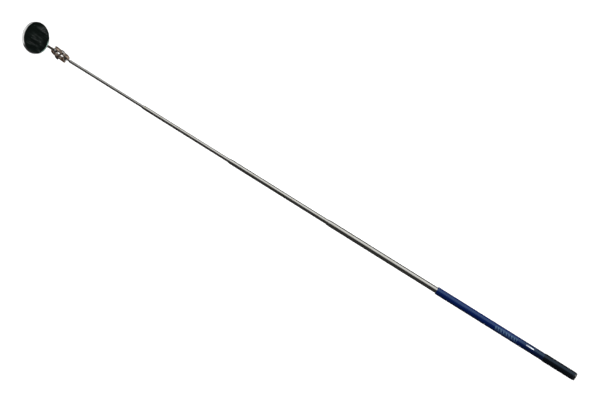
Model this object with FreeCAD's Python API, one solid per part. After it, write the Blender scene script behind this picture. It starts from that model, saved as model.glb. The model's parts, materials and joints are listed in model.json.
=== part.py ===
import FreeCAD, Part
import os

# A telescoping inspection mirror: four stages slide out of a sleeved handle, and a round framed
# mirror hangs on the tip rod by two balls clamped between a pair of plates.
# Every length is in millimetres and every angle in degrees. X runs along the shaft from the butt
# to the mirror, +Z is up, and the origin is the centre of the flat butt face.

# Telescoping shaft. Each tube is sized from the one that slides in it, starting at the tip rod.
ROD_RADIUS = 1.5
WALL = 0.3              # wall of every drawn tube
SLIDE_GAP = 0.25        # between a stage and the bore around it
RUNNING_FIT = 0.05      # where a stage or a friction sleeve runs in its bore
HANDLE_MOUTH = 164.0    # from the butt face
STAGE_2_SHOWS = 129.0   # what shows of each stage when it is pulled right out
STAGE_3_SHOWS = 116.0
STAGE_4_SHOWS = 102.0
ROD_SHOWS = 91.2        # from the last mouth to the centre of the rod's ball
CRIMP_LENGTH = 2.2      # the narrowed bore at each mouth
SWAGE_LENGTH = 3.4      # the outside taper at each mouth
LIP_LENGTH = 0.9        # the straight rim ahead of the taper
LIP_ROUND = 0.15

# The brass bush and split friction sleeve at the foot of each stage.
SPIGOT_LENGTH = 3.0     # the bush's nose inside its tube
WAIST_DEPTH = 0.5       # how far the sleeve's seat lies below the tube's outside
SLEEVE_LENGTH = 9.0
END_PLAY = 0.1          # at each end of the sleeve
STOP_GAP = 0.2          # between the sleeve and the crimp that stops it
FLANGE_LENGTH = 1.2
VENT_RADIUS = 0.4       # lets air past as the stages close
SLIT_WIDTH = 0.5
SLEEVE_BEVEL = 0.15

# Handle.
GRIP_WALL = 0.35
GRIP_LIP_LENGTH = 0.6   # the grip turned in over the handle tube's mouth
GRIP_LIP_GAP = 0.12     # between that lip and the stage inside it
GRIP_ROUND = 0.35
CAP_LENGTH = 36.4
CAP_WALL = 0.7
CAP_REAR_ROUND = 0.6
CAP_FRONT_ROUND = 0.35
PLUG_LENGTH = 1.6       # the flange of the butt plug
PLUG_RIM = 0.3          # how far the flange stands out from the handle tube
PLUG_ROUND = 0.7
PLUG_SHANK_LENGTH = 8.0

# Double ball joint, in its own frame: X runs from the rod's ball to the mirror's ball, and the
# plates lie across Z.
BALL_RADIUS = 3.0
BALL_FIT = 0.05         # between a ball and its sockets
NECK_FIT = 0.03         # between a ball and the end of its stem
BALL_SEAT_DEPTH = 0.6   # how far each ball stands into a plate, past its inner face
PLATE_THICKNESS = 0.85
PLATE_MARGIN = 0.45     # flat left around each socket
PLATE_ROUND = 0.2
SOCKET_WALL = 0.8
SOCKET_HOLE_RADIUS = 1.3
ROD_NECK_RADIUS = 0.9
ROD_NECK_LENGTH = 1.8   # from the ball's surface back to the shoulder
ROD_SHOULDER = 0.7      # the taper from the neck to the rod
SCREW_RADIUS = 1.25
SCREW_HEAD_RADIUS = 2.4
SCREW_HEAD_HEIGHT = 1.4
SCREW_HEAD_ROUND = 0.5
SCREW_SLOT_WIDTH = 0.6
SCREW_SLOT_DEPTH = 0.7
SCREW_HOLE_GAP = 0.1
SCREW_ROOM = 2.4        # between the screw's head and each socket
SCREW_PAST_NUT = 0.2
WASHER_THICKNESS = 0.45
WASHER_SPLIT = 0.4
NUT_HEIGHT = 1.7
NUT_ACROSS_FLATS = 5.0

# Mirror head, in its own frame: X runs along the stem from the ball, and Z is the way the mirror
# faces.
FRAME_RADIUS = 16.0
FRAME_DEPTH = 3.8
FRAME_WALL = 0.5
FRAME_BACK_ROUND = 1.2
FRAME_LIP_WIDTH = 0.8
FRAME_LIP_THICKNESS = 0.4
FRAME_LIP_ROUND = 0.35
GLASS_THICKNESS = 2.0
GLASS_GAP = 0.1         # around the glass, inside the frame
GLASS_BEVEL = 0.1
STEM_RADIUS = 1.25
STEM_NECK = 14.1        # from the ball's centre to the edge of the frame
STEM_FLAT = 0.15        # taken off the stem where it lies on the frame
STEM_TAIL = 2.0         # past the strap
STRAP_LENGTH = 14.0
STRAP_THICKNESS = 0.5
STRAP_FOOT = 3.2        # from the arch to the foot's outer edge
RIVET_RADIUS = 0.6
RIVET_HEAD_RADIUS = 1.1
RIVET_HEAD_HEIGHT = 0.45
RIVET_SPACING = 9.0     # along the stem
RIVET_ROOM = 0.2        # around a rivet's inner head, in the pad

# How the head is set.
PLATE_ROLL = 66.9       # the plates' turn about the shaft
PLATE_TILT = -20.4      # the shaft's lean out of the plates' plane
PLATE_SWING = 28.3      # the plates' swing from the shaft, in their own plane
STEM_SWING = 7.3        # the stem's swing on from the plates, in their plane
STEM_TILT = 3.5         # the stem's lean out of the plates' plane
MIRROR_TURN = -40.9     # the mirror's turn about its stem, from the plates' normal

# Places along the shaft.
HANDLE_TUBE_MOUTH = HANDLE_MOUTH - GRIP_LIP_LENGTH
STAGE_2_MOUTH = HANDLE_MOUTH + STAGE_2_SHOWS
STAGE_3_MOUTH = STAGE_2_MOUTH + STAGE_3_SHOWS
STAGE_4_MOUTH = STAGE_3_MOUTH + STAGE_4_SHOWS
ROD_BALL_X = STAGE_4_MOUTH + ROD_SHOWS
CAP_FRONT = PLUG_LENGTH + CAP_LENGTH

# Radii, each tube around the last.
RADIUS_STEP = SLIDE_GAP + WALL
STAGE_4_RADIUS = ROD_RADIUS + RADIUS_STEP
STAGE_3_RADIUS = STAGE_4_RADIUS + RADIUS_STEP
STAGE_2_RADIUS = STAGE_3_RADIUS + RADIUS_STEP
HANDLE_TUBE_RADIUS = STAGE_2_RADIUS + RADIUS_STEP

# Joint sizes that follow from the balls and the screw.
SOCKET_RADIUS = BALL_RADIUS + BALL_FIT
DOME_RADIUS = SOCKET_RADIUS + SOCKET_WALL
PLATE_HALF_GAP = BALL_RADIUS - BALL_SEAT_DEPTH
PLATE_OUTSIDE = PLATE_HALF_GAP + PLATE_THICKNESS
PLATE_END_RADIUS = (DOME_RADIUS**2 - PLATE_HALF_GAP**2) ** 0.5 + PLATE_MARGIN
DOME_REACH = (DOME_RADIUS**2 - PLATE_OUTSIDE**2) ** 0.5
BALL_SPACING = 2 * (DOME_REACH + SCREW_ROOM + SCREW_HEAD_RADIUS)

# Head sizes that follow from the frame and the stem.
MIRROR_X = STEM_NECK + FRAME_RADIUS
FRAME_BACK = STEM_RADIUS - STEM_FLAT
FRAME_FRONT = FRAME_BACK + FRAME_DEPTH
GLASS_FRONT = FRAME_FRONT - FRAME_LIP_THICKNESS
GLASS_BACK = GLASS_FRONT - GLASS_THICKNESS
PAD_BACK = FRAME_BACK + FRAME_WALL
STRAP_ARCH_RADIUS = STEM_RADIUS + STRAP_THICKNESS
RIVET_Y = STRAP_ARCH_RADIUS + STRAP_FOOT / 2

CENTRE = FreeCAD.Vector(0, 0, 0)
ALONG_X = FreeCAD.Vector(1, 0, 0)
ALONG_Y = FreeCAD.Vector(0, 1, 0)
ALONG_Z = FreeCAD.Vector(0, 0, 1)


def turned(*outline):
    """Turn a closed outline of (x, radius) points about the shaft's axis."""
    points = [FreeCAD.Vector(x, 0, radius) for x, radius in outline]
    face = Part.Face(Part.makePolygon(points + points[:1]))
    return face.revolve(CENTRE, ALONG_X, 360)


def spun(*outline):
    """Turn a closed outline of (radius, z) points about Z."""
    points = [FreeCAD.Vector(radius, 0, z) for radius, z in outline]
    face = Part.Face(Part.makePolygon(points + points[:1]))
    return face.revolve(CENTRE, ALONG_Z, 360)


def rims(solid, *places):
    """Find a turned solid's circular edges at the given (distance along axis, radius) places."""
    found = []
    for edge in solid.Edges:
        if isinstance(edge.Curve, Part.Circle):
            centre = edge.Curve.Center
            along = centre.dot(edge.Curve.Axis) * (1 if sum(edge.Curve.Axis) > 0 else -1)
            for place, radius in places:
                if abs(along - place) < 1e-4 and abs(edge.Curve.Radius - radius) < 1e-4:
                    found.append(edge)
    return found


def block(low, high):
    """A box between two opposite corners."""
    size = [b - a for a, b in zip(low, high)]
    return Part.makeBox(*size, FreeCAD.Vector(*low))


def upright(radius, low, high, x=0.0, y=0.0):
    """A cylinder along Z, from low to high."""
    return Part.makeCylinder(radius, high - low, FreeCAD.Vector(x, y, low), ALONG_Z)


def ball_at(radius, x=0.0):
    return Part.makeSphere(radius, FreeCAD.Vector(x, 0, 0))


def turn_about(axis, angle):
    return FreeCAD.Placement(CENTRE, FreeCAD.Rotation(axis, angle))


def placed(solid, placement):
    solid = solid.copy()
    solid.Placement = placement.multiply(solid.Placement)
    return solid


# Where the joint's frame and the head's frame stand. Each ball leans, and then it swings.
ROD_BALL = FreeCAD.Placement(FreeCAD.Vector(ROD_BALL_X, 0, 0), FreeCAD.Rotation())
SWING_PLANE = turn_about(ALONG_X, PLATE_ROLL)
JOINT = ROD_BALL.multiply(SWING_PLANE).multiply(turn_about(ALONG_Y, PLATE_TILT))
JOINT = JOINT.multiply(turn_about(ALONG_Z, PLATE_SWING))
MIRROR_BALL = FreeCAD.Placement(FreeCAD.Vector(BALL_SPACING, 0, 0), FreeCAD.Rotation())
STEM = JOINT.multiply(MIRROR_BALL).multiply(turn_about(ALONG_Z, STEM_SWING))
STEM = STEM.multiply(turn_about(ALONG_Y, STEM_TILT))
HEAD = STEM.multiply(turn_about(ALONG_X, MIRROR_TURN))


def drawn_tube(rear, mouth, radius, inner_radius):
    """A thin tube whose mouth is swaged down to run on the stage inside it."""
    bore = inner_radius + RUNNING_FIT
    lip = bore + WALL
    tube = turned(
        (rear, radius - WALL),
        (rear, radius),
        (mouth - SWAGE_LENGTH, radius),
        (mouth - LIP_LENGTH, lip),
        (mouth, lip),
        (mouth, bore),
        (mouth - CRIMP_LENGTH, bore),
        (mouth - CRIMP_LENGTH, radius - WALL),
    )
    return tube.makeFillet(LIP_ROUND, rims(tube, (mouth, lip)))


def foot_of_stage(outer_mouth):
    """Where a stage ends inside the tube around it, when it is pulled right out."""
    return outer_mouth - CRIMP_LENGTH - STOP_GAP + END_PLAY


def bush(foot, radius):
    """The brass plug at a stage's foot, with a waist for the friction sleeve and a rear flange."""
    seat_rear = foot - SLEEVE_LENGTH - 2 * END_PLAY
    rear = seat_rear - FLANGE_LENGTH
    waist = radius - WAIST_DEPTH
    return turned(
        (foot + SPIGOT_LENGTH, VENT_RADIUS),
        (foot + SPIGOT_LENGTH, radius - WALL),
        (foot, radius - WALL),
        (foot, waist),
        (seat_rear, waist),
        (seat_rear, radius),
        (rear, radius),
        (rear, VENT_RADIUS),
    )


def friction_sleeve(foot, radius):
    """A split spring sleeve that rides on the bush's waist and grips the bore around it."""
    inside = radius - WAIST_DEPTH + RUNNING_FIT
    outside = radius + SLIDE_GAP - RUNNING_FIT
    front = foot - END_PLAY
    rear = front - SLEEVE_LENGTH
    sleeve = turned((rear, inside), (rear, outside), (front, outside), (front, inside))
    sleeve = sleeve.makeChamfer(SLEEVE_BEVEL, rims(sleeve, (rear, outside), (front, outside)))
    slit = block((rear - 1, -SLIT_WIDTH / 2, 0), (front + 1, SLIT_WIDTH / 2, 2 * outside))
    return sleeve.cut(slit)


def tip_rod(foot):
    """The solid last stage, drilled for its bush and necked down to its ball."""
    neck_end = ROD_BALL_X - BALL_RADIUS
    neck_start = neck_end - ROD_NECK_LENGTH
    rod = turned(
        (foot, 0),
        (foot, ROD_RADIUS),
        (neck_start - ROD_SHOULDER, ROD_RADIUS),
        (neck_start, ROD_NECK_RADIUS),
        (ROD_BALL_X, ROD_NECK_RADIUS),
        (ROD_BALL_X, 0),
    )
    drill = turned(
        (foot - 1, 0),
        (foot - 1, ROD_RADIUS - WALL),
        (foot + SPIGOT_LENGTH, ROD_RADIUS - WALL),
        (foot + SPIGOT_LENGTH, 0),
    )
    return rod.cut(drill).cut(ball_at(BALL_RADIUS + NECK_FIT, ROD_BALL_X))


def grip_sleeve():
    """The coloured tube pressed over the handle, turned in at its mouth."""
    outside = HANDLE_TUBE_RADIUS + GRIP_WALL
    mouth_bore = STAGE_2_RADIUS + GRIP_LIP_GAP
    grip = turned(
        (CAP_FRONT, HANDLE_TUBE_RADIUS),
        (CAP_FRONT, outside),
        (HANDLE_MOUTH, outside),
        (HANDLE_MOUTH, mouth_bore),
        (HANDLE_TUBE_MOUTH, mouth_bore),
        (HANDLE_TUBE_MOUTH, HANDLE_TUBE_RADIUS),
    )
    return grip.makeFillet(GRIP_ROUND, rims(grip, (HANDLE_MOUTH, outside)))


def end_cap():
    """The cap over the handle's rear."""
    outside = HANDLE_TUBE_RADIUS + CAP_WALL
    cap = turned(
        (PLUG_LENGTH, HANDLE_TUBE_RADIUS),
        (PLUG_LENGTH, outside),
        (CAP_FRONT, outside),
        (CAP_FRONT, HANDLE_TUBE_RADIUS),
    )
    cap = cap.makeFillet(CAP_REAR_ROUND, rims(cap, (PLUG_LENGTH, outside)))
    return cap.makeFillet(CAP_FRONT_ROUND, rims(cap, (CAP_FRONT, outside)))


def butt_plug():
    """The polished plug that closes the handle, with its flat rear face at the origin."""
    flange = HANDLE_TUBE_RADIUS + PLUG_RIM
    shank = HANDLE_TUBE_RADIUS - WALL
    plug = turned(
        (0, 0),
        (0, flange),
        (PLUG_LENGTH, flange),
        (PLUG_LENGTH, shank),
        (PLUG_LENGTH + PLUG_SHANK_LENGTH, shank),
        (PLUG_LENGTH + PLUG_SHANK_LENGTH, 0),
    )
    return plug.makeFillet(PLUG_ROUND, rims(plug, (0, flange)))


def clamp_plate():
    """One plate of the joint, on the +Z side: a flat bar with a domed socket at each end."""
    low, high = PLATE_HALF_GAP, PLATE_OUTSIDE
    ends = [0.0, BALL_SPACING]
    bar = block((0, -PLATE_END_RADIUS, low), (BALL_SPACING, PLATE_END_RADIUS, high))
    for x in ends:
        bar = bar.fuse(upright(PLATE_END_RADIUS, low, high, x))
    bar = bar.removeSplitter()
    outline = [e for e in bar.Edges if e.BoundBox.ZMin > high - 1e-4]
    bar = bar.makeFillet(PLATE_ROUND, outline)
    above = block(
        (-2 * DOME_RADIUS, -2 * DOME_RADIUS, low),
        (BALL_SPACING + 2 * DOME_RADIUS, 2 * DOME_RADIUS, 2 * DOME_RADIUS),
    )
    for x in ends:
        bar = bar.fuse(ball_at(DOME_RADIUS, x).common(above))
    for x in ends:
        bar = bar.cut(ball_at(SOCKET_RADIUS, x))
        bar = bar.cut(upright(SOCKET_HOLE_RADIUS, 0, 2 * DOME_RADIUS, x))
    hole = upright(SCREW_RADIUS + SCREW_HOLE_GAP, 0, 2 * DOME_RADIUS, BALL_SPACING / 2)
    return bar.cut(hole)


def joint_screw():
    """A slotted pan-head screw through the middle of both plates."""
    head_top = PLATE_OUTSIDE + SCREW_HEAD_HEIGHT
    tip = -PLATE_OUTSIDE - WASHER_THICKNESS - NUT_HEIGHT - SCREW_PAST_NUT
    screw = spun(
        (0, tip),
        (SCREW_RADIUS, tip),
        (SCREW_RADIUS, PLATE_OUTSIDE),
        (SCREW_HEAD_RADIUS, PLATE_OUTSIDE),
        (SCREW_HEAD_RADIUS, head_top),
        (0, head_top),
    )
    screw = screw.makeFillet(SCREW_HEAD_ROUND, rims(screw, (head_top, SCREW_HEAD_RADIUS)))
    slot = block(
        (-2 * SCREW_HEAD_RADIUS, -SCREW_SLOT_WIDTH / 2, head_top - SCREW_SLOT_DEPTH),
        (2 * SCREW_HEAD_RADIUS, SCREW_SLOT_WIDTH / 2, head_top + 1),
    )
    return screw.cut(slot).translated(FreeCAD.Vector(BALL_SPACING / 2, 0, 0))


def lock_washer():
    """A split spring washer between the rear plate and the nut."""
    high = -PLATE_OUTSIDE
    low = high - WASHER_THICKNESS
    inside = SCREW_RADIUS + SCREW_HOLE_GAP
    ring = upright(SCREW_HEAD_RADIUS, low, high).cut(upright(inside, low, high))
    split = block((0, -WASHER_SPLIT / 2, low - 1), (2 * SCREW_HEAD_RADIUS, WASHER_SPLIT / 2, high + 1))
    return ring.cut(split).translated(FreeCAD.Vector(BALL_SPACING / 2, 0, 0))


def joint_nut():
    """A hexagon nut, with its corners turned off on the outside."""
    high = -PLATE_OUTSIDE - WASHER_THICKNESS
    low = high - NUT_HEIGHT
    corner = NUT_ACROSS_FLATS / 3**0.5
    points = []
    for k in range(7):
        turn = FreeCAD.Rotation(ALONG_Z, 60 * k)
        points.append(turn.multVec(FreeCAD.Vector(corner, 0, low)))
    nut = Part.Face(Part.makePolygon(points)).extrude(FreeCAD.Vector(0, 0, NUT_HEIGHT))
    bevel = corner - NUT_ACROSS_FLATS / 2
    barrel = spun(
        (0, low),
        (NUT_ACROSS_FLATS / 2, low),
        (corner, low + bevel),
        (corner, high),
        (0, high),
    )
    nut = nut.common(barrel).cut(upright(SCREW_RADIUS, low, high))
    return nut.translated(FreeCAD.Vector(BALL_SPACING / 2, 0, 0))


def mirror_stem():
    """The wire from the mirror's ball along the back of the frame, flattened where it lies on it."""
    tail = MIRROR_X + STRAP_LENGTH / 2 + STEM_TAIL
    wire = Part.makeCylinder(STEM_RADIUS, tail, CENTRE, ALONG_X)
    wire = wire.makeFillet(STEM_RADIUS / 2, rims(wire, (tail, STEM_RADIUS)))
    flat = block((STEM_NECK, -STEM_RADIUS, FRAME_BACK), (tail + 1, STEM_RADIUS, 2 * STEM_RADIUS))
    return wire.cut(flat).cut(ball_at(BALL_RADIUS + NECK_FIT))


def rivet_places():
    places = []
    for x in (MIRROR_X - RIVET_SPACING / 2, MIRROR_X + RIVET_SPACING / 2):
        for y in (-RIVET_Y, RIVET_Y):
            places.append((x, y))
    return places


def stem_strap():
    """The saddle that holds the stem against the frame."""
    low, high = MIRROR_X - STRAP_LENGTH / 2, MIRROR_X + STRAP_LENGTH / 2
    start = FreeCAD.Vector(low, 0, 0)
    foot_edge = STRAP_ARCH_RADIUS + STRAP_FOOT
    strap = block((low, -foot_edge, FRAME_BACK - STRAP_THICKNESS), (high, foot_edge, FRAME_BACK))
    strap = strap.fuse(block((low, -STRAP_ARCH_RADIUS, 0), (high, STRAP_ARCH_RADIUS, FRAME_BACK)))
    strap = strap.fuse(Part.makeCylinder(STRAP_ARCH_RADIUS, STRAP_LENGTH, start, ALONG_X))
    strap = strap.cut(Part.makeCylinder(STEM_RADIUS, STRAP_LENGTH, start, ALONG_X))
    strap = strap.cut(block((low, -STEM_RADIUS, 0), (high, STEM_RADIUS, STRAP_ARCH_RADIUS)))
    above = block((low, -foot_edge, FRAME_BACK), (high, foot_edge, 2 * STRAP_ARCH_RADIUS))
    strap = strap.cut(above)
    for x, y in rivet_places():
        strap = strap.cut(upright(RIVET_RADIUS, -1, FRAME_BACK + 1, x, y))
    return strap.removeSplitter()


def strap_rivets():
    """Four rivets through the strap's feet and the back of the frame."""
    outer_low = FRAME_BACK - STRAP_THICKNESS - RIVET_HEAD_HEIGHT
    outer_high = FRAME_BACK - STRAP_THICKNESS
    inner_high = PAD_BACK + RIVET_HEAD_HEIGHT
    rivet = spun(
        (0, outer_low),
        (RIVET_HEAD_RADIUS / 2, outer_low),
        (RIVET_HEAD_RADIUS, outer_high - RIVET_HEAD_HEIGHT / 3),
        (RIVET_HEAD_RADIUS, outer_high),
        (RIVET_RADIUS, outer_high),
        (RIVET_RADIUS, PAD_BACK),
        (RIVET_HEAD_RADIUS, PAD_BACK),
        (RIVET_HEAD_RADIUS, inner_high),
        (0, inner_high),
    )
    return Part.makeCompound(
        [rivet.translated(FreeCAD.Vector(x, y, 0)) for x, y in rivet_places()]
    )


def mirror_frame():
    """A pressed cup with its front edge rolled in over the glass."""
    wall_inside = FRAME_RADIUS - FRAME_WALL
    lip_inside = FRAME_RADIUS - FRAME_LIP_WIDTH
    cup = spun(
        (0, FRAME_BACK),
        (FRAME_RADIUS, FRAME_BACK),
        (FRAME_RADIUS, FRAME_FRONT),
        (lip_inside, FRAME_FRONT),
        (lip_inside, GLASS_FRONT),
        (wall_inside, GLASS_FRONT),
        (wall_inside, PAD_BACK),
        (0, PAD_BACK),
    )
    cup = cup.makeFillet(FRAME_BACK_ROUND, rims(cup, (FRAME_BACK, FRAME_RADIUS)))
    inner_round = FRAME_BACK_ROUND - FRAME_WALL
    cup = cup.makeFillet(inner_round, rims(cup, (PAD_BACK, wall_inside)))
    cup = cup.makeFillet(FRAME_LIP_ROUND, rims(cup, (FRAME_FRONT, FRAME_RADIUS)))
    cup = cup.translated(FreeCAD.Vector(MIRROR_X, 0, 0))
    for x, y in rivet_places():
        cup = cup.cut(upright(RIVET_RADIUS, FRAME_BACK - 1, PAD_BACK + 1, x, y))
    return cup


def mirror_pad():
    """The soft pad that presses the glass against the frame's lip."""
    radius = FRAME_RADIUS - FRAME_BACK_ROUND - GLASS_GAP
    pad = upright(radius, PAD_BACK, GLASS_BACK, MIRROR_X)
    for x, y in rivet_places():
        pad = pad.cut(upright(RIVET_HEAD_RADIUS + RIVET_ROOM, PAD_BACK - 1, GLASS_BACK + 1, x, y))
    return pad


def mirror_glass():
    radius = FRAME_RADIUS - FRAME_WALL - GLASS_GAP
    glass = upright(radius, GLASS_BACK, GLASS_FRONT)
    glass = glass.makeChamfer(GLASS_BEVEL, rims(glass, (GLASS_FRONT, radius)))
    return glass.translated(FreeCAD.Vector(MIRROR_X, 0, 0))


def stage_pieces():
    """The sliding stages, each with its bush and its friction sleeve."""
    pieces = {}
    stages = [
        ("stage_2", HANDLE_TUBE_MOUTH, STAGE_2_MOUTH, STAGE_2_RADIUS, STAGE_3_RADIUS),
        ("stage_3", STAGE_2_MOUTH, STAGE_3_MOUTH, STAGE_3_RADIUS, STAGE_4_RADIUS),
        ("stage_4", STAGE_3_MOUTH, STAGE_4_MOUTH, STAGE_4_RADIUS, ROD_RADIUS),
    ]
    for name, outer_mouth, mouth, radius, inner_radius in stages:
        foot = foot_of_stage(outer_mouth)
        pieces[name + "_tube"] = drawn_tube(foot, mouth, radius, inner_radius)
        pieces[name + "_bush"] = bush(foot, radius)
        pieces[name + "_friction_sleeve"] = friction_sleeve(foot, radius)
    foot = foot_of_stage(STAGE_4_MOUTH)
    pieces["tip_rod"] = tip_rod(foot)
    pieces["rod_bush"] = bush(foot, ROD_RADIUS)
    pieces["rod_friction_sleeve"] = friction_sleeve(foot, ROD_RADIUS)
    return pieces


def handle_pieces():
    return {
        "handle_tube": drawn_tube(
            PLUG_LENGTH, HANDLE_TUBE_MOUTH, HANDLE_TUBE_RADIUS, STAGE_2_RADIUS
        ),
        "grip_sleeve": grip_sleeve(),
        "end_cap": end_cap(),
        "butt_plug": butt_plug(),
    }


def joint_pieces():
    """The two balls and what clamps them."""
    plate = clamp_plate()
    return {
        "rod_ball": placed(ball_at(BALL_RADIUS), JOINT),
        "front_plate": placed(plate, JOINT),
        "rear_plate": placed(plate.mirror(CENTRE, ALONG_Z), JOINT),
        "joint_screw": placed(joint_screw(), JOINT),
        "lock_washer": placed(lock_washer(), JOINT),
        "joint_nut": placed(joint_nut(), JOINT),
        "mirror_ball": placed(ball_at(BALL_RADIUS), HEAD),
    }


def head_pieces():
    return {
        "mirror_stem": placed(mirror_stem(), HEAD),
        "stem_strap": placed(stem_strap(), HEAD),
        "strap_rivets": placed(strap_rivets(), HEAD),
        "mirror_frame": placed(mirror_frame(), HEAD),
        "mirror_pad": placed(mirror_pad(), HEAD),
        "mirror_glass": placed(mirror_glass(), HEAD),
    }


def main():
    os.makedirs("parts", exist_ok=True)
    pieces = {**handle_pieces(), **stage_pieces(), **joint_pieces(), **head_pieces()}
    for name, shape in pieces.items():
        shape.exportStep("parts/" + name + ".step")


main()
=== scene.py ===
import bpy
import json
import math
from mathutils import Matrix, Vector


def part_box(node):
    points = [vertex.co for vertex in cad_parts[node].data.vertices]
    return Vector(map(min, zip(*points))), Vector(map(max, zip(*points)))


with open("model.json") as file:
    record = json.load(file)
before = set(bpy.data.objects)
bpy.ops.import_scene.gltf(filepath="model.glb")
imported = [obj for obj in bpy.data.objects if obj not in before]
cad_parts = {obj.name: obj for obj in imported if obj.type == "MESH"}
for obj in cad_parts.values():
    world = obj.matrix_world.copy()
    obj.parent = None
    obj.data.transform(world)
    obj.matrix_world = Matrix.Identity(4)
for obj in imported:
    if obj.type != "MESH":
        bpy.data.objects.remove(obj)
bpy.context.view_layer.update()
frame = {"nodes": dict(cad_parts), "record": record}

MM = 0.001

# Places that the looks need, all read from the frame.
GRIP_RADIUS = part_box("grip_sleeve")[1].z
CAP_LOW, CAP_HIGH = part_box("end_cap")
HEAD_LOW, HEAD_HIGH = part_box("mirror_frame")

# The band of streaks on the glass, and the scuffed end of the cap.
STREAK_BAND_X = (HEAD_LOW.x + HEAD_HIGH.x) / 2 - 3 * MM
STREAK_BAND_HALF_WIDTH, STREAK_BAND_END = 3 * MM, 10 * MM
SCUFFED_TO = CAP_LOW.x + 12 * MM

# The painted shade and the marks on the sleeve: places along X, and offsets round it from the top
# of the sleeve.
PAINTED_SHADE_FROM, PAINTED_SHADE_TO = CAP_HIGH.x + 2 * MM, CAP_HIGH.x + 44 * MM
MARK_FROM, MARK_TO = CAP_HIGH.x + 12.5 * MM, CAP_HIGH.x + 21.5 * MM
MARK_ROUND = (-1.75 * MM, -0.75 * MM)
PRINT_FROM, PRINT_TO = CAP_HIGH.x + 31.5 * MM, CAP_HIGH.x + 57.5 * MM
BAR_ROUND = (-0.9 * MM, 1.5 * MM)
BAR_PITCH = 3.1 * MM
BAR_SLANT = 0.55
PRINT_MIDDLE = sum(BAR_ROUND) / 2
RULE_FROM_MIDDLE = (1.55 * MM, 1.85 * MM)


# ---------------------------------------------------------------- material helpers


def new_look(name):
    """A material with its node tree and its shader."""
    material = bpy.data.materials.new(name)
    material.use_nodes = True
    tree = material.node_tree
    return material, tree, tree.nodes["Principled BSDF"]


def put(tree, socket, value):
    """Set a socket to a plain value, or link another socket to it."""
    if isinstance(value, bpy.types.NodeSocket):
        tree.links.new(value, socket)
    else:
        socket.default_value = value


def add(tree, kind, inputs=(), **settings):
    """A node with its settings, and its inputs in order (None leaves an input as it is)."""
    node = tree.nodes.new(kind)
    for name, value in settings.items():
        setattr(node, name, value)
    for socket, value in zip(node.inputs, inputs):
        if value is not None:
            put(tree, socket, value)
    return node


def calc(tree, operation, a, b=None, c=None, clamp=False):
    node = add(tree, "ShaderNodeMath", (a, b, c), operation=operation, use_clamp=clamp)
    return node.outputs[0]


def smooth_step(tree, value, low, high, to_low=0.0, to_high=1.0):
    node = add(
        tree,
        "ShaderNodeMapRange",
        (value, low, high, to_low, to_high),
        interpolation_type="SMOOTHSTEP",
    )
    return node.outputs[0]


def object_place(tree):
    return add(tree, "ShaderNodeTexCoord").outputs["Object"]


def parts_of(tree, vector):
    node = add(tree, "ShaderNodeSeparateXYZ", (vector,))
    return node.outputs[0], node.outputs[1], node.outputs[2]


def noise(tree, vector, per_metre, detail=3.0, roughness=0.55):
    """Noise with its own number of cells per metre along X, Y and Z."""
    scaled = add(tree, "ShaderNodeVectorMath", (vector, per_metre), operation="MULTIPLY")
    node = add(tree, "ShaderNodeTexNoise")
    put(tree, node.inputs["Vector"], scaled.outputs[0])
    node.inputs["Scale"].default_value = 1.0
    node.inputs["Detail"].default_value = detail
    node.inputs["Roughness"].default_value = roughness
    return node.outputs[0]


def blend_colour(tree, factor, low, high):
    """A colour between low and high. The Mix node's inputs 6 and 7 and output 2 are colours."""
    node = add(tree, "ShaderNodeMix", data_type="RGBA")
    put(tree, node.inputs[0], factor)
    put(tree, node.inputs[6], low if isinstance(low, bpy.types.NodeSocket) else (*low, 1.0))
    put(tree, node.inputs[7], high if isinstance(high, bpy.types.NodeSocket) else (*high, 1.0))
    return node.outputs[2]


def shade(colour, share):
    return tuple(channel * share for channel in colour)


def raise_surface(tree, shader, height, depth, strength=1.0):
    """Bump from a height between 0 and 1, depth in metres."""
    node = add(tree, "ShaderNodeBump")
    node.inputs["Strength"].default_value = strength
    node.inputs["Distance"].default_value = depth
    put(tree, node.inputs["Height"], height)
    put(tree, shader.inputs["Normal"], node.outputs[0])


# ---------------------------------------------------------------- materials


def drawn_metal(name, colour, polish, grain_depth=1.5e-6):
    """Plated tube with fine drawing lines along X and faint handling marks."""
    material, tree, shader = new_look(name)
    place = object_place(tree)
    grain = noise(tree, place, (90.0, 5200.0, 5200.0), 4.0)
    streak = noise(tree, place, (25.0, 900.0, 900.0), 3.0)
    smudge = noise(tree, place, (160.0, 260.0, 260.0), 5.0, 0.6)
    tone = calc(tree, "MULTIPLY_ADD", grain, 0.55, calc(tree, "MULTIPLY", streak, 0.45))
    body = blend_colour(tree, tone, shade(colour, 0.80), shade(colour, 1.16))
    surface_marks = smooth_step(tree, smudge, 0.52, 0.74)
    warm = (colour[0] * 0.86, colour[1] * 0.82, colour[2] * 0.72)
    put(tree, shader.inputs["Base Color"], blend_colour(tree, surface_marks, body, warm))
    rough = calc(tree, "MULTIPLY_ADD", tone, 0.10, polish - 0.05)
    put(tree, shader.inputs["Roughness"], calc(tree, "MULTIPLY_ADD", surface_marks, 0.12, rough))
    shader.inputs["Metallic"].default_value = 1.0
    raise_surface(tree, shader, grain, grain_depth)
    return material


def bright_metal(name, colour, polish, spot=400.0):
    """Polished or tumbled metal with soft marks in no direction."""
    material, tree, shader = new_look(name)
    place = object_place(tree)
    fine = noise(tree, place, (spot * 6, spot * 6, spot * 6), 4.0)
    broad = noise(tree, place, (spot, spot, spot), 4.0, 0.6)
    tone = calc(tree, "MULTIPLY_ADD", fine, 0.4, calc(tree, "MULTIPLY", broad, 0.6))
    put(
        tree,
        shader.inputs["Base Color"],
        blend_colour(tree, tone, shade(colour, 0.72), shade(colour, 1.22)),
    )
    put(tree, shader.inputs["Roughness"], calc(tree, "MULTIPLY_ADD", tone, 0.16, polish - 0.08))
    shader.inputs["Metallic"].default_value = 1.0
    raise_surface(tree, shader, fine, 2.0e-6)
    return material


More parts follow.
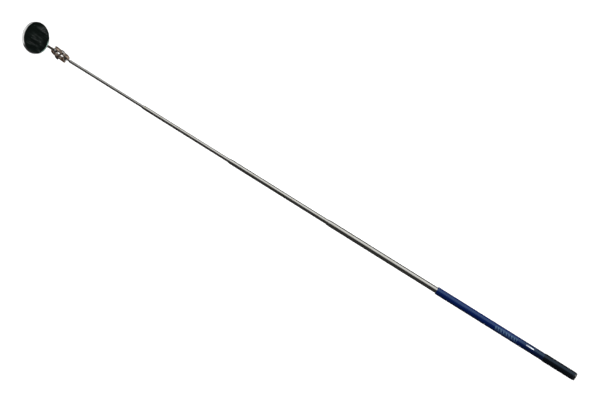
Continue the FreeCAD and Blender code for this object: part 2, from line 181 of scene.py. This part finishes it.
def inside(tree, value, low, high, soft):
    """1 between low and high, 0 outside, with soft edges."""
    rise = smooth_step(tree, value, low - soft, low + soft)
    fall = smooth_step(tree, value, high - soft, high + soft, 1.0, 0.0)
    return calc(tree, "MULTIPLY", rise, fall)


def grip_plastic():
    """Glossy blue sleeve with painted shade that darkens it towards the cap, and a plain printed
    pattern.
    """
    material, tree, shader = new_look("blue_grip_look")
    place = object_place(tree)
    x, y, z = parts_of(tree, place)
    # The second colour is painted shade: the sleeve's blue darkened where the light falls off
    # towards the cap.
    blue, shaded_blue = (0.0006, 0.0052, 0.050), (0.0016, 0.0030, 0.011)
    bright_blue = (0.0016, 0.0100, 0.0740)
    ink_colour, mark_colour = (0.10, 0.18, 0.25), (0.70, 0.73, 0.78)
    cloud = noise(tree, place, (60.0, 500.0, 500.0), 3.0)
    # Painted shade: the sleeve turns from blue to a darker shaded blue towards the cap, as the
    # light falls off there.
    painted_shade_fade = smooth_step(tree, x, PAINTED_SHADE_FROM, PAINTED_SHADE_TO)
    body = blend_colour(tree, painted_shade_fade, shaded_blue, blue)
    body = blend_colour(tree, calc(tree, "MULTIPLY", cloud, 0.35), body, bright_blue)
    # The print: a row of slanted bars between two thin rules, and one short plain bar.
    arc = calc(tree, "MULTIPLY", calc(tree, "ARCTAN2", y, z), GRIP_RADIUS)
    slant = calc(tree, "MULTIPLY_ADD", arc, BAR_SLANT, x)
    step = calc(tree, "FRACT", calc(tree, "DIVIDE", slant, BAR_PITCH))
    bars = inside(tree, step, 0.22, 0.72, 0.05)
    across = inside(tree, arc, *BAR_ROUND, 0.06 * MM)
    along = inside(tree, x, PRINT_FROM, PRINT_TO, 0.1 * MM)
    from_middle = calc(tree, "ABSOLUTE", calc(tree, "SUBTRACT", arc, PRINT_MIDDLE))
    rules = inside(tree, from_middle, *RULE_FROM_MIDDLE, 0.05 * MM)
    printed = calc(tree, "MAXIMUM", calc(tree, "MULTIPLY", bars, across), rules)
    wear = smooth_step(tree, noise(tree, place, (700.0, 1500.0, 1500.0), 5.0, 0.65), 0.30, 0.52)
    ink = calc(tree, "MULTIPLY", calc(tree, "MULTIPLY", printed, along), wear)
    body = blend_colour(tree, calc(tree, "MULTIPLY", ink, 0.50), body, ink_colour)
    mark = calc(
        tree,
        "MULTIPLY",
        inside(tree, x, MARK_FROM, MARK_TO, 0.15 * MM),
        inside(tree, arc, *MARK_ROUND, 0.08 * MM),
    )
    # The white mark is stronger at its butt end and fainter towards the head.
    mark_strength = smooth_step(tree, x, MARK_FROM + 1.5 * MM, MARK_TO - 0.5 * MM, 0.88, 0.42)
    body = blend_colour(tree, calc(tree, "MULTIPLY", mark, mark_strength), body, mark_colour)
    put(tree, shader.inputs["Base Color"], body)
    scuff = smooth_step(tree, noise(tree, place, (260.0, 3000.0, 3000.0), 4.0, 0.6), 0.58, 0.70)
    rough = calc(tree, "MULTIPLY_ADD", cloud, 0.10, 0.12)
    rough = calc(tree, "MULTIPLY_ADD", scuff, 0.16, rough)
    put(tree, shader.inputs["Roughness"], calc(tree, "MULTIPLY_ADD", ink, 0.14, rough))
    shader.inputs["Specular IOR Level"].default_value = 0.48
    shader.inputs["Specular Tint"].default_value = (0.55, 0.88, 1.0, 1.0)
    raise_surface(tree, shader, calc(tree, "ADD", cloud, ink), 6.0e-6, 0.7)
    return material


def cap_plastic():
    """Glossy black cap with fine scuffs, more of them at the butt."""
    material, tree, shader = new_look("black_cap_look")
    place = object_place(tree)
    x = parts_of(tree, place)[0]
    cloud = noise(tree, place, (80.0, 420.0, 420.0), 3.0)
    scratch = noise(tree, place, (500.0, 2600.0, 2600.0), 4.0, 0.62)
    rear = smooth_step(tree, x, CAP_LOW.x, SCUFFED_TO, 0.10, 0.0)
    scuff = smooth_step(tree, calc(tree, "ADD", scratch, rear), 0.60, 0.72)
    body = blend_colour(tree, cloud, (0.0014, 0.0019, 0.0028), (0.0032, 0.0040, 0.0054))
    body = blend_colour(tree, calc(tree, "MULTIPLY", scuff, 0.5), body, (0.028, 0.030, 0.033))
    put(tree, shader.inputs["Base Color"], body)
    rough = calc(tree, "MULTIPLY_ADD", cloud, 0.08, 0.11)
    put(tree, shader.inputs["Roughness"], calc(tree, "MULTIPLY_ADD", scuff, 0.20, rough))
    shader.inputs["Specular IOR Level"].default_value = 0.32
    shader.inputs["Specular Tint"].default_value = (0.48, 0.72, 1.0, 1.0)
    raise_surface(tree, shader, calc(tree, "ADD", cloud, scuff), 5.0e-6, 0.6)
    return material


def mirror_surface():
    """Silvered glass: a sharp, faintly green reflection with greyer, slightly less metallic
    streaks in a band across it, and dust.
    """
    material, tree, shader = new_look("mirror_glass_look")
    place = object_place(tree)
    streak_noise = noise(tree, place, (70.0, 620.0, 70.0), 4.0, 0.6)
    dust = noise(tree, place, (2600.0, 2600.0, 2600.0), 2.0)
    from_middle = calc(tree, "ABSOLUTE", calc(tree, "SUBTRACT", parts_of(tree, place)[0], STREAK_BAND_X))
    # The streaks are strongest in a band across the middle of the glass and weaker away from it.
    in_streak_band = smooth_step(tree, from_middle, STREAK_BAND_HALF_WIDTH, STREAK_BAND_END, 1.0, 0.12)
    streak = calc(tree, "MULTIPLY", smooth_step(tree, streak_noise, 0.47, 0.66), in_streak_band)
    speck = smooth_step(tree, dust, 0.70, 0.76)
    surface_marks = calc(tree, "MAXIMUM", streak, calc(tree, "MULTIPLY", speck, 0.5))
    put(
        tree,
        shader.inputs["Base Color"],
        blend_colour(tree, surface_marks, (0.40, 0.60, 0.52), (0.56, 0.57, 0.57)),
    )
    put(tree, shader.inputs["Roughness"], calc(tree, "MULTIPLY_ADD", surface_marks, 0.02, 0.02))
    put(tree, shader.inputs["Metallic"], calc(tree, "MULTIPLY_ADD", surface_marks, -0.035, 1.0))
    shader.inputs["Coat Weight"].default_value = 0.25
    shader.inputs["Coat Roughness"].default_value = 0.02
    return material


def foam():
    material, tree, shader = new_look("foam_pad_look")
    place = object_place(tree)
    cells = noise(tree, place, (2400.0, 2400.0, 2400.0), 3.0, 0.7)
    put(
        tree,
        shader.inputs["Base Color"],
        blend_colour(tree, cells, (0.012, 0.012, 0.012), (0.05, 0.05, 0.05)),
    )
    put(tree, shader.inputs["Roughness"], calc(tree, "MULTIPLY_ADD", cells, 0.1, 0.85))
    raise_surface(tree, shader, cells, 6.0e-5)
    return material


LOOKS = {
    "drawn_steel": drawn_metal("drawn_steel_look", (0.43, 0.425, 0.40), 0.20),
    "rod_steel": drawn_metal("rod_steel_look", (0.31, 0.305, 0.29), 0.26),
    "polished_steel": bright_metal("polished_steel_look", (0.15, 0.15, 0.147), 0.18),
    "blue_grip": grip_plastic(),
    "black_cap": cap_plastic(),
    "brass": bright_metal("brass_look", (0.60, 0.42, 0.16), 0.26),
    "spring_brass": bright_metal("spring_brass_look", (0.52, 0.35, 0.13), 0.32),
    "ball_steel": bright_metal("ball_steel_look", (0.66, 0.64, 0.61), 0.12, 300.0),
    "plate_steel": bright_metal("plate_steel_look", (0.50, 0.385, 0.30), 0.19, 500.0),
    "stem_steel": bright_metal("stem_steel_look", (0.20, 0.175, 0.15), 0.28, 500.0),
    "screw_steel": bright_metal("screw_steel_look", (0.68, 0.64, 0.60), 0.17, 600.0),
    "chrome_rim": bright_metal("chrome_rim_look", (0.80, 0.80, 0.79), 0.13, 220.0),
    "foam_pad": foam(),
    "mirror_glass": mirror_surface(),
}


# The mirror's stem is darker and warmer than the shaft's rod, though it shares its slot.
OWN_LOOKS = {"mirror_stem": "stem_steel"}


def dress_nodes():
    """Give every carried-over CAD node the look of its slot, or its own look."""
    slots = {part["node"]: part["material_slot"] for part in frame["record"]["subparts"]}
    for name, piece in frame["nodes"].items():
        look = LOOKS[OWN_LOOKS.get(name, slots[name])]
        if not piece.material_slots:
            piece.data.materials.append(look)
        for slot in piece.material_slots:
            slot.material = look


# ---------------------------------------------------------------- studio


FLOOR_DROP = 60 * MM     # below the shaft's axis, so that no pose reaches the floor
FLOOR_SIZE = 6.0

# How bright the studio's parts are in reflections, and its background to the camera.
TENT_LIGHT = 1.45
TABLE_LIGHT = 0.9
APRON_LIGHT = 0.65
SEEN_LIGHT = 0.95

TOP_LIGHT_PLACE = (0.33, -1.4, 2.2)
TOP_LIGHT_AIM = (0.33, 0.0, 0.0)
TOP_LIGHT_SIZE = 2.4
TOP_LIGHT_POWER = 110.0

TOOL_SLOPE = 32.0               # degrees, how the tool lies across the picture
VIEW_MIDDLE = (0.3278, -0.00425, 0.0)
VIEW_WIDTH = 0.600
LENS = 200.0                    # mm, long, so that the view has almost no perspective
SENSOR_WIDTH = 36.0             # mm


def add_floor():
    corner = FLOOR_SIZE / 2
    mesh = bpy.data.meshes.new("floor")
    points = [(-corner, -corner), (corner, -corner), (corner, corner), (-corner, corner)]
    mesh.from_pydata([(x, y, -FLOOR_DROP) for x, y in points], [], [(0, 1, 2, 3)])
    floor = bpy.data.objects.new("floor", mesh)
    bpy.context.scene.collection.objects.link(floor)
    material, tree, shader = new_look("floor_look")
    place = object_place(tree)
    mottle = noise(tree, place, (3.0, 3.0, 3.0), 2.0)
    put(
        tree,
        shader.inputs["Base Color"],
        blend_colour(tree, mottle, (0.86, 0.86, 0.86), (0.88, 0.88, 0.88)),
    )
    shader.inputs["Roughness"].default_value = 0.9
    shader.inputs["Specular IOR Level"].default_value = 0.1
    mesh.materials.append(material)
    floor.visible_glossy = False


def set_world():
    """A studio round the tool: pale to look at, and mostly dark to reflect.

    A wide tent stands on the -Y side, from near the zenith down to the horizon. The pale table
    shows in reflections only beyond the tool's two ends, because beside it lies its own shade,
    and on a pale apron below the tent, towards the butt.
    """
    world = bpy.data.worlds.new("studio")
    world.use_nodes = True
    bpy.context.scene.world = world
    tree = world.node_tree
    tree.nodes.clear()
    towards = add(tree, "ShaderNodeTexCoord").outputs["Generated"]
    x, y, z = parts_of(tree, towards)
    side = calc(tree, "MULTIPLY", y, -1.0)
    endways = calc(tree, "ABSOLUTE", x)
    tent = calc(
        tree,
        "MULTIPLY",
        smooth_step(tree, side, 0.12, 0.42),
        smooth_step(tree, endways, 0.45, 0.75, 1.0, 0.0),
    )
    tent = calc(tree, "MULTIPLY", tent, smooth_step(tree, z, -0.15, 0.30))
    table = calc(
        tree,
        "MULTIPLY",
        smooth_step(tree, z, -0.06, 0.04, 1.0, 0.0),
        smooth_step(tree, endways, 0.40, 0.65),
    )
    table = calc(tree, "MULTIPLY", table, smooth_step(tree, z, -0.80, -0.35, 0.25, 1.0))
    apron = calc(
        tree,
        "MULTIPLY",
        smooth_step(tree, z, -0.20, 0.0, 1.0, 0.0),
        smooth_step(tree, x, -0.30, -0.12, 1.0, 0.0),
    )
    apron = calc(tree, "MULTIPLY", apron, smooth_step(tree, side, 0.3, 0.6))
    room = smooth_step(tree, endways, 0.2, 0.8, 0.060, 0.010)
    level = calc(tree, "MULTIPLY_ADD", tent, TENT_LIGHT, room)
    level = calc(tree, "MULTIPLY_ADD", table, TABLE_LIGHT, level)
    level = calc(tree, "MULTIPLY_ADD", apron, APRON_LIGHT, level)
    reflected = add(tree, "ShaderNodeBackground", ((1.0, 1.0, 1.0, 1.0), level))
    seen = add(tree, "ShaderNodeBackground", ((SEEN_LIGHT, SEEN_LIGHT, SEEN_LIGHT, 1.0), 1.0))
    ray = add(tree, "ShaderNodeLightPath").outputs["Is Camera Ray"]
    mixed = add(tree, "ShaderNodeMixShader", (ray, reflected.outputs[0], seen.outputs[0]))
    add(tree, "ShaderNodeOutputWorld", (mixed.outputs[0],))


def add_softbox(name, place, aim, size, power):
    """A square soft light at a place, aimed at a point, that doesn't show in reflections."""
    light = bpy.data.lights.new(name, "AREA")
    light.shape = "SQUARE"
    light.size = size
    light.energy = power
    holder = bpy.data.objects.new(name, light)
    holder.location = place
    holder.rotation_euler = (Vector(aim) - Vector(place)).to_track_quat("-Z", "Y").to_euler()
    holder.visible_glossy = False
    bpy.context.scene.collection.objects.link(holder)


def add_camera():
    """Looks straight down on the tool, which lies from the lower right to the upper left."""
    slope = math.radians(TOOL_SLOPE)
    right = Vector((-math.cos(slope), -math.sin(slope), 0.0))
    up = Vector((math.sin(slope), -math.cos(slope), 0.0))
    towards = Vector((0.0, 0.0, 1.0))
    aim = Vector(VIEW_MIDDLE)
    data = bpy.data.cameras.new("camera")
    data.sensor_width = SENSOR_WIDTH
    data.lens = LENS
    data.clip_end = 50.0
    distance = VIEW_WIDTH * LENS / SENSOR_WIDTH
    camera = bpy.data.objects.new("camera", data)
    turn = Matrix((right, up, towards)).transposed().to_4x4()
    camera.matrix_world = Matrix.Translation(aim + towards * distance) @ turn
    bpy.context.scene.collection.objects.link(camera)
    bpy.context.scene.camera = camera


dress_nodes()
add_floor()
set_world()
add_softbox("top_light", TOP_LIGHT_PLACE, TOP_LIGHT_AIM, TOP_LIGHT_SIZE, TOP_LIGHT_POWER)
add_camera()
bpy.context.scene.view_settings.view_transform = "Standard"
